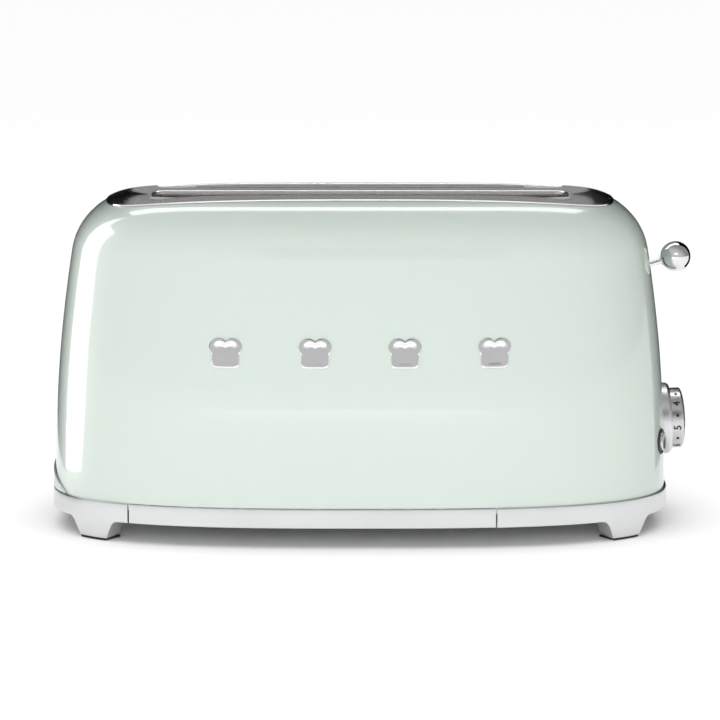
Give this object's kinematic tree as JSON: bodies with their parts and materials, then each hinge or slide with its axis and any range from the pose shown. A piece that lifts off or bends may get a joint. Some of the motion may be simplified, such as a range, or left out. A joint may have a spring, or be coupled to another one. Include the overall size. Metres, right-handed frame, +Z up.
{
  "type": "toaster",
  "caption": "Long two-slot pop-up toaster with a glossy enamelled shell, steel top, cast base ring on feet, side lever, browning dial and a slide-out crumb tray.",
  "frame": {"origin": "on the worktop, under the middle of the toaster's box with its lever", "axes": "+X along the toaster towards its lever and dial, -Y towards its decorated front, +Z up"},
  "size_m": [0.4092, 0.208, 0.2126],
  "materials": {
    "pastel_enamel": "glossy enamel",
    "polished_steel": "polished",
    "satin_casting": "satin plated",
    "chrome": "mirror",
    "dial_silver": "satin",
    "black_rubber": "matt",
    "dark_plastic": "fine texture",
    "button_silver": "satin",
    "zinc_sheet": "mill finish",
    "mica_board": "flaky mica",
    "heater_ribbon": "oxidised ribbon",
    "spring_steel": "bright wire",
    "circuit_board": "solder mask",
    "copper_coil": "lacquered wire"
  },
  "bodies": {
    "housing": {"body_shell": "pastel_enamel", "top_plate": "polished_steel", "base_left_end": "satin_casting", "base_right_end": "satin_casting", "base_front_strip": "satin_casting", "base_rear_strip": "satin_casting", "bottom_plate": "zinc_sheet", "foot_pads": "black_rubber", "housing_screws": "zinc_sheet", "front_tokens": "chrome", "lever_track": "dark_plastic", "cord_inlet": "dark_plastic", "chassis_left": "zinc_sheet", "chassis_right": "zinc_sheet", "front_reflector": "zinc_sheet", "rear_reflector": "zinc_sheet", "front_outer_heater_board": "mica_board", "front_outer_heater_ribbons": "heater_ribbon", "front_inner_heater_board": "mica_board", "front_inner_heater_ribbons": "heater_ribbon", "rear_inner_heater_board": "mica_board", "rear_inner_heater_ribbons": "heater_ribbon", "rear_outer_heater_board": "mica_board", "rear_outer_heater_ribbons": "heater_ribbon", "guide_rods": "spring_steel", "tray_rails": "zinc_sheet", "latch_magnet": "copper_coil", "knob_bezel": "chrome", "browning_control": "dark_plastic", "button_rings": "dark_plastic", "button_switches": "dark_plastic", "control_board": "circuit_board", "board_bracket": "zinc_sheet", "power_relay": "dark_plastic", "terminal_block": "dark_plastic"},
    "lift_carriage": {"carriage": "zinc_sheet", "lift_crossbar": "zinc_sheet", "front_bread_lift": "zinc_sheet", "rear_bread_lift": "zinc_sheet", "lever_stem": "chrome", "lever_ball": "chrome", "lift_spring": "spring_steel", "latch_armature": "zinc_sheet"},
    "guides_forward": {"front_inner_guide": "spring_steel", "rear_outer_guide": "spring_steel"},
    "guides_backward": {"front_outer_guide": "spring_steel", "rear_inner_guide": "spring_steel"},
    "knob": {"browning_knob": "dial_silver", "knob_shaft": "spring_steel"},
    "defrost": {"defrost_button": "button_silver"},
    "cancel": {"cancel_button": "button_silver"},
    "tray": {"crumb_tray": "zinc_sheet", "crumb_tray_handle": "satin_casting"}
  },
  "joints": [
    {"name": "lever_press", "type": "slide", "parent": "housing", "child": "lift_carriage", "axis": [0, 0, -1], "range_m": [0, 0.06], "stiffness_N_per_m": 60, "springref_m": -0.09, "deforming": ["lift_spring"]},
    {"name": "guides_forward_close", "type": "slide", "parent": "housing", "child": "guides_forward", "axis": [0, -1, 0], "range_m": [0, 0.007]},
    {"name": "guides_backward_close", "type": "slide", "parent": "housing", "child": "guides_backward", "axis": [0, 1, 0], "range_m": [0, 0.007]},
    {"name": "knob_turn", "type": "hinge", "parent": "housing", "child": "knob", "pos_m": [0.18716, 0, 0.064], "axis": [0.9991, 0, 0.0421], "range_deg": [-135, 135]},
    {"name": "defrost_press", "type": "slide", "parent": "housing", "child": "defrost", "axis": [-0.9471, 0.3192, -0.0334], "range_m": [0, 0.002], "stiffness_N_per_m": 300, "springref_m": -0.002},
    {"name": "cancel_press", "type": "slide", "parent": "housing", "child": "cancel", "axis": [-0.9471, -0.3192, -0.0334], "range_m": [0, 0.002], "stiffness_N_per_m": 300, "springref_m": -0.002},
    {"name": "tray_pull", "type": "slide", "parent": "housing", "child": "tray", "axis": [-1, 0, 0], "range_m": [0, 0.24]}
  ],
  "couplings": [
    {"joint": "guides_forward_close", "follows": "lever_press", "ratio": 0.11667},
    {"joint": "guides_backward_close", "follows": "lever_press", "ratio": 0.11667}
  ]
}
